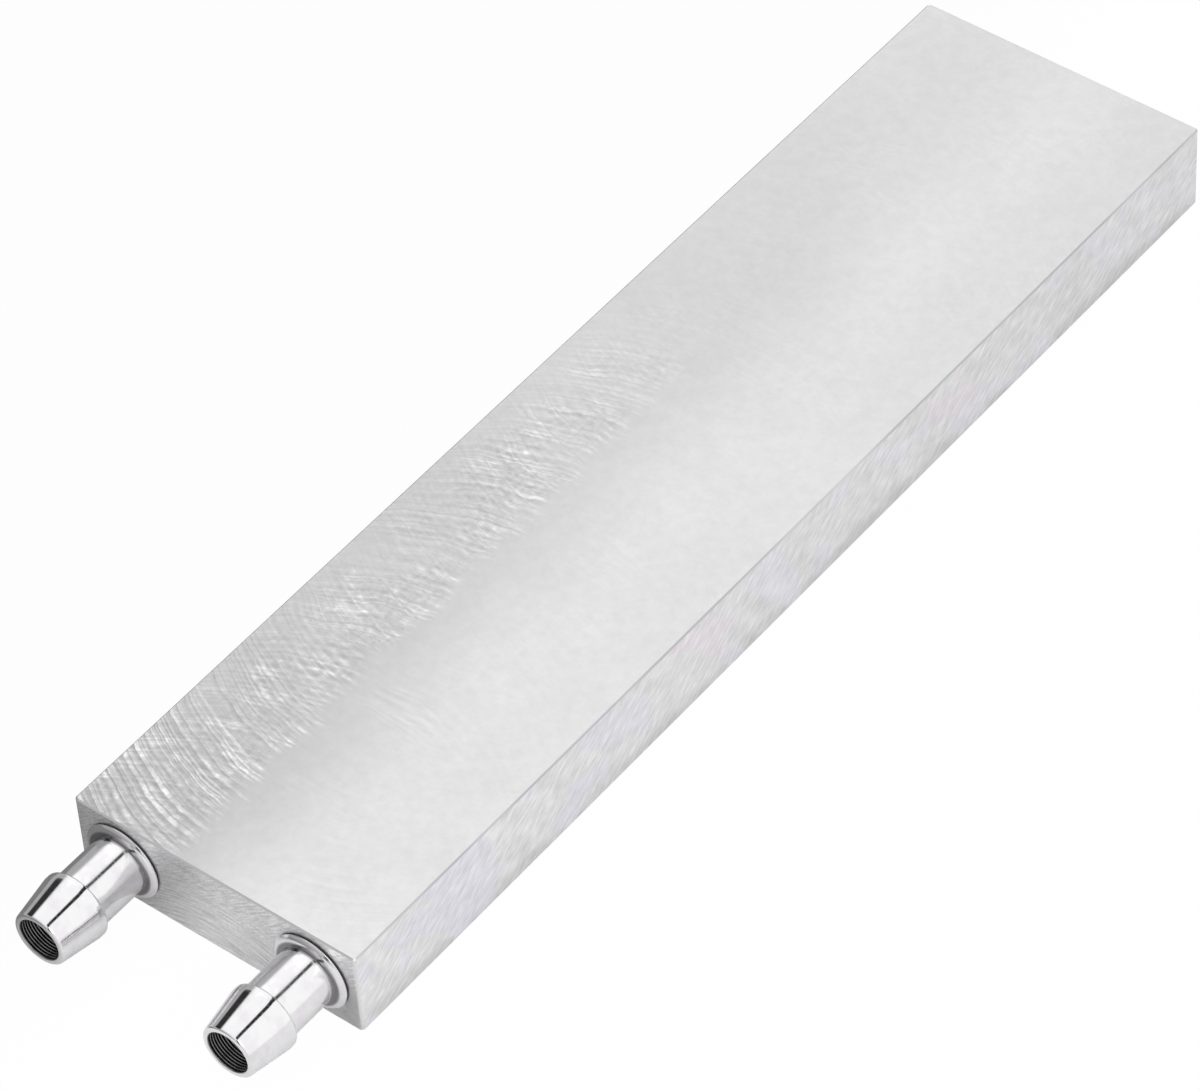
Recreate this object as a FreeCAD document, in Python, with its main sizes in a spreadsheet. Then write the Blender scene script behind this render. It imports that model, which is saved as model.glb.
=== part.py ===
"""Liquid cooling cold plate, 160 x 40 x 12 mm, in millimetres, +Z up.

An extruded aluminium bar holds two ribbed coolant chambers side by side. Both ends are milled out
and closed by inset plugs. Two turned hose barbs are pressed into the plug at the port end, each on
a thin gasket. Coolant enters one barb, runs the length of its chamber, turns round the end of the
divider at the return end and comes back along the other chamber.

The origin is the middle of the plate's underside. +Y runs along the plate, from the port end to
the return end.
"""

import FreeCAD, Part
import os

import Sketcher

# alias, size in millimetres (or a count), what it is
SIZES = [
    ("plate_length", 160.0, "length of the bar, without the barbs"),
    ("plate_width", 40.0, "width of the bar"),
    ("plate_thickness", 12.0, "thickness of the bar"),
    ("corner_round", 0.5, "rounding of the bar's four upright corners"),
    ("edge_break", 0.2, "chamfer round the bar's top and underside"),
    ("face_wall", 2.0, "metal between a chamber and the faces that take the heat"),
    ("side_wall", 2.5, "metal between a chamber and the side of the bar"),
    ("divider_wall", 3.0, "wall between the two chambers"),
    ("fin_count", 5, "ribs along each face of a chamber"),
    ("fin_thickness", 1.0, "thickness of a rib"),
    ("fin_height", 1.8, "how far a rib stands into its chamber"),
    ("fin_root", 0.4, "how far a rib's solid starts inside the wall that carries it"),
    ("manifold_length", 8.0, "chamber without ribs, behind the ports"),
    ("turn_length", 13.0, "chamber without ribs or divider, at the return end"),
    ("plug_depth", 6.0, "thickness of an end plug and depth of its seat"),
    ("plug_lip", 0.6, "how far a seat steps out past the chambers"),
    ("plug_corner", 1.5, "corner radius of a seat"),
    ("plug_fit", 0.02, "clearance all round a plug in its seat"),
    ("port_edge_wall", 1.0, "metal between a port hole and the side of its plug"),
    ("port_bore", 5.5, "bore of a barb"),
    ("spigot_wall", 0.85, "wall of a barb's spigot, the part inside the plug"),
    ("spigot_length", 5.8, "how far a spigot reaches into the plug"),
    ("spigot_fit", 0.02, "radial clearance of a spigot in its hole"),
    ("gasket_thickness", 0.2, "thickness of the gasket under a collar"),
    ("gasket_setback", 0.05, "how far a gasket's rim lies inside the collar's rim"),
    ("collar_rise", 1.35, "how far a collar stands out past the neck"),
    ("collar_rim", 0.15, "height of a collar's straight rim"),
    ("collar_bevel", 0.45, "height of the cone above the rim"),
    ("collar_ledge", 0.25, "flat step between the cone and the neck"),
    ("neck_wall", 1.0, "wall of a barb's neck"),
    ("neck_length", 6.75, "length of the neck, from the collar to the barb's shoulder"),
    ("barb_rise", 0.65, "how far the shoulder stands out past the neck"),
    ("barb_land", 1.0, "straight length behind the taper"),
    ("barb_taper", 5.65, "length of the taper, from the land to the tip"),
    ("shoulder_round", 0.45, "rounding of the shoulder's edge"),
    ("tip_wall", 0.75, "wall at the tip"),
    ("tip_round", 0.4, "rounding of the lip's outer edge"),
    ("mouth_break", 0.2, "chamfer at the mouth of the bore"),
]

# Worked-out sizes, as expressions over the sheet.
HALF_LENGTH = "Sizes.plate_length / 2"
HALF_WIDTH = "Sizes.plate_width / 2"
HALF_THICKNESS = "Sizes.plate_thickness / 2"
CHAMBER_INNER = "Sizes.divider_wall / 2"
CHAMBER_OUTER = f"({HALF_WIDTH} - Sizes.side_wall)"
CHAMBER_WIDTH = f"({CHAMBER_OUTER} - {CHAMBER_INNER})"
CHAMBER_HALF_HEIGHT = f"({HALF_THICKNESS} - Sizes.face_wall)"
FIN_PITCH = f"({CHAMBER_WIDTH} / (Sizes.fin_count + 1))"
SEAT_HALF_WIDTH = f"({CHAMBER_OUTER} + Sizes.plug_lip)"
SEAT_HALF_HEIGHT = f"({CHAMBER_HALF_HEIGHT} + Sizes.plug_lip)"
BORE_RADIUS = "Sizes.port_bore / 2"
SPIGOT_RADIUS = f"({BORE_RADIUS} + Sizes.spigot_wall)"
PORT_HOLE_RADIUS = f"({SPIGOT_RADIUS} + Sizes.spigot_fit)"
NECK_RADIUS = f"({BORE_RADIUS} + Sizes.neck_wall)"
SHOULDER_RADIUS = f"({NECK_RADIUS} + Sizes.barb_rise)"
COLLAR_RADIUS = f"({NECK_RADIUS} + Sizes.collar_rise)"
TIP_RADIUS = f"({BORE_RADIUS} + Sizes.tip_wall)"
COLLAR_HEIGHT = "(Sizes.collar_rim + Sizes.collar_bevel)"
SHOULDER_STATION = f"({COLLAR_HEIGHT} + Sizes.neck_length)"
TAPER_STATION = f"({SHOULDER_STATION} + Sizes.barb_land)"
TIP_STATION = f"({TAPER_STATION} + Sizes.barb_taper)"
PORT_X = f"({SEAT_HALF_WIDTH} - Sizes.plug_fit - Sizes.port_edge_wall - {PORT_HOLE_RADIUS})"

TOUCH = 1e-4  # two lengths nearer than this are the same length

doc = FreeCAD.newDocument("cold_plate")


def make_sheet():
    """The driving dimensions, one row each: name, size, note."""
    made = doc.addObject("Spreadsheet::Sheet", "Sizes")
    for row, (alias, size, note) in enumerate(SIZES, start=1):
        made.set(f"A{row}", alias)
        made.set(f"B{row}", str(size))
        made.set(f"C{row}", note)
        made.setAlias(f"B{row}", alias)
    doc.recompute()
    return made


sheet = make_sheet()


def measure(expression):
    """The number that an expression over the sheet gives."""
    return float(sheet.evalExpression(expression))


def new_body(label):
    body = doc.addObject("PartDesign::Body", label)
    body.Label = label
    return body


def place(body, x="0", y="0", z="0"):
    """Puts a body's origin at a place given by three expressions."""
    for axis, expression in zip("xyz", (x, y, z)):
        body.setExpression(f"Placement.Base.{axis}", expression)


def origin_plane(body, role):
    return next(item for item in body.Origin.OriginFeatures if item.Role == role)


def new_sketch(body, name, plane_role, offset=None):
    """A sketch on one of the body's own origin planes, or at an offset along that plane's normal."""
    sketch = body.newObject("Sketcher::SketchObject", name)
    sketch.AttachmentSupport = [(origin_plane(body, plane_role), "")]
    sketch.MapMode = "FlatFace"
    if offset is not None:
        sketch.setExpression("AttachmentOffset.Base.z", offset)
    return sketch


def drive(sketch, constraint, expression):
    """Adds a dimension and binds it to an expression."""
    index = sketch.addConstraint(constraint)
    sketch.setExpression(f"Constraints[{index}]", expression)


def draw_outline(sketch, corners):
    """A closed outline of straight lines. Each corner is a pair of expressions."""
    spots = [FreeCAD.Vector(measure(x), measure(y), 0) for x, y in corners]
    count = len(spots)
    first = sketch.GeometryCount
    for i in range(count):
        sketch.addGeometry(Part.LineSegment(spots[i], spots[(i + 1) % count]), False)
    for i in range(count):
        following = first + (i + 1) % count
        sketch.addConstraint(Sketcher.Constraint("Coincident", first + i, 2, following, 1))
    for i, (x, y) in enumerate(corners):
        drive(sketch, Sketcher.Constraint("DistanceX", -1, 1, first + i, 1, spots[i].x), x)
        drive(sketch, Sketcher.Constraint("DistanceY", -1, 1, first + i, 1, spots[i].y), y)


def draw_box(sketch, left, right, bottom, top):
    """A rectangle between four expressions."""
    draw_outline(sketch, [(left, bottom), (right, bottom), (right, top), (left, top)])


def draw_circle(sketch, x, radius):
    """A circle whose centre lies on the sketch's horizontal axis."""
    middle = FreeCAD.Vector(measure(x), 0, 0)
    index = sketch.addGeometry(Part.Circle(middle, FreeCAD.Vector(0, 0, 1), measure(radius)), False)
    sketch.addConstraint(Sketcher.Constraint("PointOnObject", index, 3, -1))
    drive(sketch, Sketcher.Constraint("DistanceX", -1, 1, index, 3, middle.x), x)
    drive(sketch, Sketcher.Constraint("Radius", index, measure(radius)), radius)


def pad(body, name, sketch, length, both_ways=False, reverse=False):
    feature = body.newObject("PartDesign::Pad", name)
    feature.Profile = sketch
    feature.setExpression("Length", length)
    feature.SideType = "Symmetric" if both_ways else "One side"
    feature.Reversed = reverse
    doc.recompute()
    return feature


def pocket(body, name, sketch, depth, both_ways=False, reverse=False):
    """Cuts a sketch to a depth, and makes sure that metal went."""
    before = body.Shape.Volume
    feature = body.newObject("PartDesign::Pocket", name)
    feature.Profile = sketch
    feature.setExpression("Length", depth)
    feature.SideType = "Symmetric" if both_ways else "One side"
    feature.Reversed = reverse
    doc.recompute()
    if not body.Shape.Volume < before - TOUCH:
        raise RuntimeError(f"{name} cuts nothing")
    return feature


def mirror(body, name, features, plane_role):
    feature = body.newObject("PartDesign::Mirrored", name)
    feature.Originals = features
    feature.MirrorPlane = (origin_plane(body, plane_role), [""])
    body.Tip = feature
    doc.recompute()
    return feature


def edge_names(shape, wanted):
    """The names of the edges that pass a test."""
    return [f"Edge{i}" for i, edge in enumerate(shape.Edges, start=1) if wanted(edge)]


def dress(body, kind, name, wanted, size):
    """A PartDesign Fillet or Chamfer on the edges of the body that pass a test."""
    base = body.Tip
    names = edge_names(base.Shape, wanted)
    if not names:
        raise RuntimeError(f"{name} finds no edge")
    feature = body.newObject(f"PartDesign::{kind}", name)
    feature.Base = (base, names)
    feature.setExpression("Radius" if kind == "Fillet" else "Size", size)
    doc.recompute()
    return feature


def near(a, b):
    return abs(a - b) < TOUCH


def runs_along_y(edge):
    """True for a straight edge parallel to Y."""
    ends = [vertex.Point for vertex in edge.Vertexes]
    return len(ends) == 2 and near(ends[0].x, ends[1].x) and near(ends[0].z, ends[1].z)


def runs_along_z(edge):
    """True for a straight edge parallel to Z."""
    ends = [vertex.Point for vertex in edge.Vertexes]
    return len(ends) == 2 and near(ends[0].x, ends[1].x) and near(ends[0].y, ends[1].y)


def is_ring(edge, radius, station):
    """True for a full circle round Y, of that radius, at that station along Y."""
    curve = edge.Curve
    return (
        isinstance(curve, Part.Circle)
        and near(curve.Radius, radius)
        and near(curve.Center.y, station)
    )


def make_channel_body():
    """The extruded bar: two ribbed chambers, milled for the manifold, the turn and the plug seats.

    Its own origin is the middle of the bar, so that it mirrors about all three planes.
    """
    body = new_body("channel_body")
    section = new_sketch(body, "BarSection", "XZ_Plane")
    draw_box(section, f"-{HALF_WIDTH}", HALF_WIDTH, f"-{HALF_THICKNESS}", HALF_THICKNESS)
    pad(body, "Bar", section, "Sizes.plate_length", both_ways=True)
    upper, lower = measure(HALF_THICKNESS), -measure(HALF_THICKNESS)

    def outline_edge(edge):
        heights = [vertex.Point.z for vertex in edge.Vertexes]
        return all(near(z, upper) for z in heights) or all(near(z, lower) for z in heights)

    dress(body, "Fillet", "UprightCorners", runs_along_z, "Sizes.corner_round")
    dress(body, "Chamfer", "EdgeBreaks", outline_edge, "Sizes.edge_break")

    chamber = new_sketch(body, "ChamberSection", "XZ_Plane")
    low, high = f"-{CHAMBER_HALF_HEIGHT}", CHAMBER_HALF_HEIGHT
    draw_box(chamber, CHAMBER_INNER, CHAMBER_OUTER, low, high)
    draw_box(chamber, f"-{CHAMBER_OUTER}", f"-{CHAMBER_INNER}", low, high)
    pocket(body, "Chambers", chamber, "Sizes.plate_length", both_ways=True)

    add_fins(body)
    mill_ends(body)
    place(body, z=HALF_THICKNESS)
    return body


def add_fins(body):
    """Ribs on both faces of both chambers: one is drawn, and the rest are patterned and mirrored."""
    count = int(measure("Sizes.fin_count"))
    section = new_sketch(body, "FinSection", "XZ_Plane")
    middle = f"({CHAMBER_INNER} + {FIN_PITCH})"
    draw_box(
        section,
        f"{middle} - Sizes.fin_thickness / 2",
        f"{middle} + Sizes.fin_thickness / 2",
        f"-{CHAMBER_HALF_HEIGHT} - Sizes.fin_root",
        f"-{CHAMBER_HALF_HEIGHT} + Sizes.fin_height",
    )
    fin = pad(body, "Fin", section, "Sizes.plate_length", both_ways=True)
    everywhere = body.newObject("PartDesign::MultiTransform", "Fins")
    everywhere.Originals = [fin]
    row = body.newObject("PartDesign::LinearPattern", "FinRow")
    row.Direction = (section, ["H_Axis"])
    row.setExpression("Occurrences", "Sizes.fin_count")
    row.setExpression("Length", f"{FIN_PITCH} * (Sizes.fin_count - 1)")
    upper = body.newObject("PartDesign::Mirrored", "FinUpper")
    upper.MirrorPlane = (origin_plane(body, "XY_Plane"), [""])
    other = body.newObject("PartDesign::Mirrored", "FinOtherChamber")
    other.MirrorPlane = (origin_plane(body, "YZ_Plane"), [""])
    steps = [row, upper, other] if count > 1 else [upper, other]
    everywhere.Transformations = steps
    body.Tip = everywhere
    doc.recompute()


def mill_ends(body):
    """Clears the ribs behind the ports, the ribs and divider at the turn, and the two plug seats."""
    low, high = f"-{CHAMBER_HALF_HEIGHT}", CHAMBER_HALF_HEIGHT
    manifold = new_sketch(body, "ManifoldOutline", "XZ_Plane", HALF_LENGTH)
    draw_box(manifold, CHAMBER_INNER, CHAMBER_OUTER, low, high)
    draw_box(manifold, f"-{CHAMBER_OUTER}", f"-{CHAMBER_INNER}", low, high)
    pocket(body, "Manifolds", manifold, "Sizes.plug_depth + Sizes.manifold_length")

    turn = new_sketch(body, "TurnOutline", "XZ_Plane", f"-{HALF_LENGTH}")
    draw_box(turn, f"-{CHAMBER_OUTER}", CHAMBER_OUTER, low, high)
    pocket(body, "Turn", turn, "Sizes.plug_depth + Sizes.turn_length", reverse=True)

    seat = new_sketch(body, "SeatOutline", "XZ_Plane", HALF_LENGTH)
    draw_box(
        seat,
        f"-{SEAT_HALF_WIDTH}",
        SEAT_HALF_WIDTH,
        f"-{SEAT_HALF_HEIGHT}",
        SEAT_HALF_HEIGHT,
    )
    port_seat = pocket(body, "PortSeat", seat, "Sizes.plug_depth")
    mirror(body, "BothSeats", [port_seat], "XZ_Plane")
    side, face = measure(SEAT_HALF_WIDTH), measure(SEAT_HALF_HEIGHT)

    def seat_corner(edge):
        spot = edge.Vertexes[0].Point
        return runs_along_y(edge) and near(abs(spot.x), side) and near(abs(spot.z), face)

    dress(body, "Fillet", "SeatCorners", seat_corner, "Sizes.plug_corner")


def make_plug(label):
    """An end plug, its own origin in the middle of its port-side face, reaching towards +Y."""
    body = new_body(label)
    half_width = f"({SEAT_HALF_WIDTH} - Sizes.plug_fit)"
    half_height = f"({SEAT_HALF_HEIGHT} - Sizes.plug_fit)"
    outline = new_sketch(body, f"{label}_outline", "XZ_Plane")
    draw_box(outline, f"-{half_width}", half_width, f"-{half_height}", half_height)
    pad(body, f"{label}_block", outline, "Sizes.plug_depth", reverse=True)
    corner = "Sizes.plug_corner - Sizes.plug_fit"
    dress(body, "Fillet", f"{label}_corners", runs_along_y, corner)
    return body


def make_port_plug():
    """The plug at the port end, with a hole for each spigot."""
    body = make_plug("port_end_plug")
    holes = new_sketch(body, "PortHoles", "XZ_Plane")
    draw_circle(holes, PORT_X, PORT_HOLE_RADIUS)
    draw_circle(holes, f"-{PORT_X}", PORT_HOLE_RADIUS)
    pocket(body, "PortBores", holes, "Sizes.plug_depth", reverse=False)
    place(body, y=f"-{HALF_LENGTH}", z=HALF_THICKNESS)
    return body


def make_return_plug():
    """The plug at the return end, without holes."""
    body = make_plug("return_end_plug")
    place(body, y=f"{HALF_LENGTH} - Sizes.plug_depth", z=HALF_THICKNESS)
    return body


def place_at_port(body, side, standoff):
    """Turns a body to face out of the port end, on the port's axis; side is -1 or 1."""
    body.Placement.Rotation = FreeCAD.Rotation(FreeCAD.Vector(0, 0, 1), 180)
    place(body, x=f"{side} * {PORT_X}", y=f"-{HALF_LENGTH} - {standoff}", z=HALF_THICKNESS)


def make_barb(label, side):
    """A turned hose barb. Its own +Y points out of the plate, from the collar's back face."""
    body = new_body(label)
    profile = new_sketch(body, f"{label}_profile", "XY_Plane")
    inner_end = "-Sizes.spigot_length - Sizes.gasket_thickness"
    draw_outline(
        profile,
        [
            (BORE_RADIUS, inner_end),
            (SPIGOT_RADIUS, inner_end),
            (SPIGOT_RADIUS, "0"),
            (COLLAR_RADIUS, "0"),
            (COLLAR_RADIUS, "Sizes.collar_rim"),
            (f"{NECK_RADIUS} + Sizes.collar_ledge", COLLAR_HEIGHT),
            (NECK_RADIUS, COLLAR_HEIGHT),
            (NECK_RADIUS, SHOULDER_STATION),
            (SHOULDER_RADIUS, SHOULDER_STATION),
            (SHOULDER_RADIUS, TAPER_STATION),
            (TIP_RADIUS, TIP_STATION),
            (BORE_RADIUS, TIP_STATION),
        ],
    )
    turned = body.newObject("PartDesign::Revolution", f"{label}_turned")
    turned.Profile = profile
    turned.ReferenceAxis = (profile, ["V_Axis"])
    turned.Angle = 360.0
    doc.recompute()

    shoulder, shoulder_at = measure(SHOULDER_RADIUS), measure(SHOULDER_STATION)
    lip, bore, tip_at = measure(TIP_RADIUS), measure(BORE_RADIUS), measure(TIP_STATION)

    def shoulder_edge(edge):
        return is_ring(edge, shoulder, shoulder_at)

    def lip_edge(edge):
        return is_ring(edge, lip, tip_at)

    def mouth_edge(edge):
        return is_ring(edge, bore, tip_at)

    shoulder_round = "min(Sizes.shoulder_round; 0.9 * Sizes.barb_rise; 0.9 * Sizes.barb_land)"
    dress(body, "Fillet", f"{label}_shoulder", shoulder_edge, shoulder_round)
    lip_round = "min(Sizes.tip_round; 0.6 * Sizes.tip_wall)"
    dress(body, "Fillet", f"{label}_lip", lip_edge, lip_round)
    mouth_break = "min(Sizes.mouth_break; 0.3 * Sizes.tip_wall)"
    dress(body, "Chamfer", f"{label}_mouth", mouth_edge, mouth_break)
    place_at_port(body, side, "Sizes.gasket_thickness")
    return body


def make_gasket(label, side):
    """The flat ring between a collar and the end of the plate."""
    body = new_body(label)
    ring = new_sketch(body, f"{label}_ring", "XZ_Plane")
    draw_circle(ring, "0", PORT_HOLE_RADIUS)
    draw_circle(ring, "0", f"{COLLAR_RADIUS} - Sizes.gasket_setback")
    pad(body, f"{label}_disc", ring, "Sizes.gasket_thickness", reverse=True)
    place_at_port(body, side, "0")
    return body


def write_parts(bodies):
    """Checks the whole document, then writes one STEP file for each body."""
    doc.recompute()
    for item in doc.Objects:
        if "Invalid" in item.State or "Error" in item.State:
            raise RuntimeError(f"{item.Label} failed: {item.State}")
    for body in bodies:
        if body.Shape.isNull() or not body.Shape.isValid() or not body.Shape.Solids:
            raise RuntimeError(f"{body.Label} has no valid solid")
    os.makedirs("parts", exist_ok=True)
    for body in bodies:
        body.Shape.exportStep(f"parts/{body.Label}.step")
        box = body.Shape.BoundBox
        print(
            f"{body.Label}: {len(body.Shape.Solids)} solid, {body.Shape.Volume:.1f} mm3,"
            f" x {box.XMin:.2f}..{box.XMax:.2f}, y {box.YMin:.2f}..{box.YMax:.2f},"
            f" z {box.ZMin:.2f}..{box.ZMax:.2f}"
        )


made_bodies = [make_channel_body(), make_port_plug(), make_return_plug()]
for side_name, side_sign in (("left", -1), ("right", 1)):
    made_bodies.append(make_barb(f"{side_name}_barb", side_sign))
    made_bodies.append(make_gasket(f"{side_name}_port_gasket", side_sign))
write_parts(made_bodies)
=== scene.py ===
"""Dresses a liquid cooling cold plate: milled aluminium plate and end plugs, two turned hose
barbs, two thin gaskets, and a pale studio.

Lengths in this file are millimetres where a name ends in _mm or a property says so, and metres
everywhere else. The plate lies along Y with its ports at the -Y end.
"""

import math

import bmesh
import bpy
from mathutils import Matrix, Vector


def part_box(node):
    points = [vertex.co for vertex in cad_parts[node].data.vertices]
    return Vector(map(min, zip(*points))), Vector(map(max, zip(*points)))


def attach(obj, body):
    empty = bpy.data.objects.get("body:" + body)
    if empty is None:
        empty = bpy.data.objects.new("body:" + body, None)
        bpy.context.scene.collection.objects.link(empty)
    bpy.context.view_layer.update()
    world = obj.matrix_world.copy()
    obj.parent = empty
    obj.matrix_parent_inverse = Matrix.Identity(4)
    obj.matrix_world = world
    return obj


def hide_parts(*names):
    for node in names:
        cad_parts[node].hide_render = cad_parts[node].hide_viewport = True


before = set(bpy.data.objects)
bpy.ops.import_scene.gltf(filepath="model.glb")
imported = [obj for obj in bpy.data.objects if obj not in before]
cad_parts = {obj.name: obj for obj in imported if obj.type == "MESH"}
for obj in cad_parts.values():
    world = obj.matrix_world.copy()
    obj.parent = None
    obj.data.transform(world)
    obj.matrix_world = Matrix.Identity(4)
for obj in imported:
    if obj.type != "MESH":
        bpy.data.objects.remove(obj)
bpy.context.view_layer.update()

bl_info = {
    "name": "Cold Plate Dressing",
    "version": (1, 0, 0),
    "blender": (4, 5, 0),
    "location": "View3D > Sidebar > Cold Plate",
    "description": "Finishes for a milled cold plate, its hose barbs and its gaskets",
    "category": "Object",
}

MM = 0.001
PLATE_LOW, PLATE_HIGH = (Vector(corner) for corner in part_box("channel_body"))
PLATE_MIDDLE = (PLATE_LOW + PLATE_HIGH) / 2
PLATE_HALF = (PLATE_HIGH - PLATE_LOW) / 2
PLATE_LENGTH = PLATE_HIGH.y - PLATE_LOW.y

BARB_LOW, BARB_HIGH = (Vector(corner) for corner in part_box("left_barb"))
COLLAR_RADIUS = (BARB_HIGH.x - BARB_LOW.x) / 2
COLLAR_BACK_Y = Vector(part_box("left_port_gasket")[0]).y
TIP_STATION = COLLAR_BACK_Y - BARB_LOW.y
INNER_STATION = COLLAR_BACK_Y - BARB_HIGH.y

# how strongly rubbed streaks lighten and darken the long sides
STREAK_CONTRAST = 0.31


# ---------------------------------------------------------------------------------------------
# Properties: what a user would change
# ---------------------------------------------------------------------------------------------


def length_property(name, default_mm, description):
    """A length in metres, shown in the scene's unit, with its default given in millimetres."""
    return bpy.props.FloatProperty(
        name=name,
        description=description,
        default=default_mm * MM,
        min=0.0,
        unit="LENGTH",
        precision=5,
    )


def factor_property(name, default, description):
    """A share from 0 to 1."""
    return bpy.props.FloatProperty(
        name=name, description=description, default=default, min=0.0, max=1.0, subtype="FACTOR"
    )


def power_property(name, default, description):
    """A lamp's power in watts."""
    return bpy.props.FloatProperty(
        name=name, description=description, default=default, min=0.0, unit="POWER"
    )


def colour_property(name, default, description):
    """A colour in linear red, green and blue."""
    return bpy.props.FloatVectorProperty(
        name=name,
        description=description,
        default=default,
        size=3,
        min=0.0,
        max=1.0,
        subtype="COLOR",
    )


class ColdPlateFinish(bpy.types.PropertyGroup):
    """The milled finish of the plate and its end plugs."""

    colour: colour_property("Metal", (0.785, 0.785, 0.785), "Colour of clean milled aluminium")
    # the bright marks are painted glints on the cutter marks
    bright_colour: colour_property(
        "Bright Marks", (0.90, 0.90, 0.90), "Colour of the brightest cutter marks"
    )
    # the dull colour is partly the coarse cut's own tone and partly painted shade
    dull_and_shade_colour: colour_property(
        "Coarse Cut", (0.55, 0.55, 0.552), "Colour where the fly cutter left coarse marks"
    )
    side_colour: colour_property("Long Sides", (0.85, 0.85, 0.85), "Colour of the long sides")
    end_colour: colour_property("Sawn Ends", (0.80, 0.80, 0.805), "Colour of the two end faces")
    roughness: factor_property("Roughness", 0.36, "Roughness of the smoothly cut metal")
    side_roughness: factor_property("Side Roughness", 0.44, "Roughness of the long sides")
    sweep_radius: length_property("Sweep Radius", 34.0, "Radius of the fly cutter's path")
    sweep_offset: length_property("Sweep Offset", 1.0, "How far the cutter ran off the centreline")
    feed: length_property("Feed", 0.95, "Distance between one cutter mark and the next")
    coarse_width: length_property("Coarse Width", 14.5, "Width of the coarsely cut strip")
    coarse_length: length_property("Coarse Length", 84.0, "Length of the coarsely cut strip")


class ColdPlateBarbs(bpy.types.PropertyGroup):
    """Form and finish of the turned barbs."""

    colour: colour_property("Metal", (0.90, 0.895, 0.90), "Colour of the turned metal")
    roughness: factor_property("Roughness", 0.07, "Roughness of the turned metal")
    bore_radius: length_property("Bore Radius", 2.75, "Radius of the bore")
    spigot_radius: length_property("Spigot Radius", 3.6, "Radius of the spigot inside the plug")
    collar_rim: length_property("Collar Rim", 0.15, "Height of the collar's straight rim")
    collar_bevel: length_property("Collar Bevel", 0.45, "Height of the cone above the rim")
    collar_ledge: length_property("Collar Ledge", 0.25, "Flat step between the cone and the neck")
    neck_radius: length_property("Neck Radius", 3.75, "Radius of the neck")
    neck_length: length_property("Neck Length", 6.75, "Length of the neck")
    land_radius: length_property("Land Radius", 4.4, "Largest radius of the barb")
    land_length: length_property("Land Length", 1.0, "Length of the land behind the taper")
    shoulder_round: length_property("Shoulder Round", 0.45, "Rounding behind the land")
    tip_radius: length_property("Tip Radius", 3.5, "Radius at the end of the taper")
    tip_round: length_property("Tip Round", 0.4, "Rounding of the lip's outer edge")
    mouth_break: length_property("Mouth Break", 0.2, "Rounding at the mouth of the bore")
    ring_pitch: length_property("Ring Pitch", 0.36, "Distance between tool rings in the bore")
    ring_depth: length_property("Ring Depth", 0.05, "Depth of the tool rings in the bore")


class ColdPlateGaskets(bpy.types.PropertyGroup):
    """Finish of the gaskets."""

    colour: colour_property("Rubber", (0.014, 0.014, 0.016), "Colour of the gaskets")
    roughness: factor_property("Roughness", 0.55, "Roughness of the gaskets")


class ColdPlateStage(bpy.types.PropertyGroup):
    """The studio."""

    floor_colour: colour_property("Floor", (0.93, 0.93, 0.93), "Colour of the floor")
    # the floor's left side is painted grey as a shadow
    floor_shade: colour_property(
        "Floor Shade", (0.25, 0.25, 0.25), "Colour of the floor's left side"
    )
    floor_glow: factor_property("Floor Glow", 0.98, "How much of the floor shows as plain white")
    mirrored_glow: factor_property(
        "Mirrored Glow", 0.2, "How much of the floor shows as plain white in reflections"
    )
    key_power: power_property("Key Lamp", 0.3, "Power of the large overhead lamp")
    front_power: power_property("Front Lamp", 1.5, "Power of the lamp at the front")
    tent: bpy.props.FloatProperty(
        name="Tent", description="Brightness of the light tent round the object", default=1.3,
        min=0.0,
    )


# ---------------------------------------------------------------------------------------------
# Node helpers
# ---------------------------------------------------------------------------------------------


COLUMN_WIDTH = 190
# where a Mix node has its first input, its second input and its result, for each data type
MIX_SOCKETS = {"FLOAT": (2, 3, 0), "VECTOR": (4, 5, 1), "RGBA": (6, 7, 2)}


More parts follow.
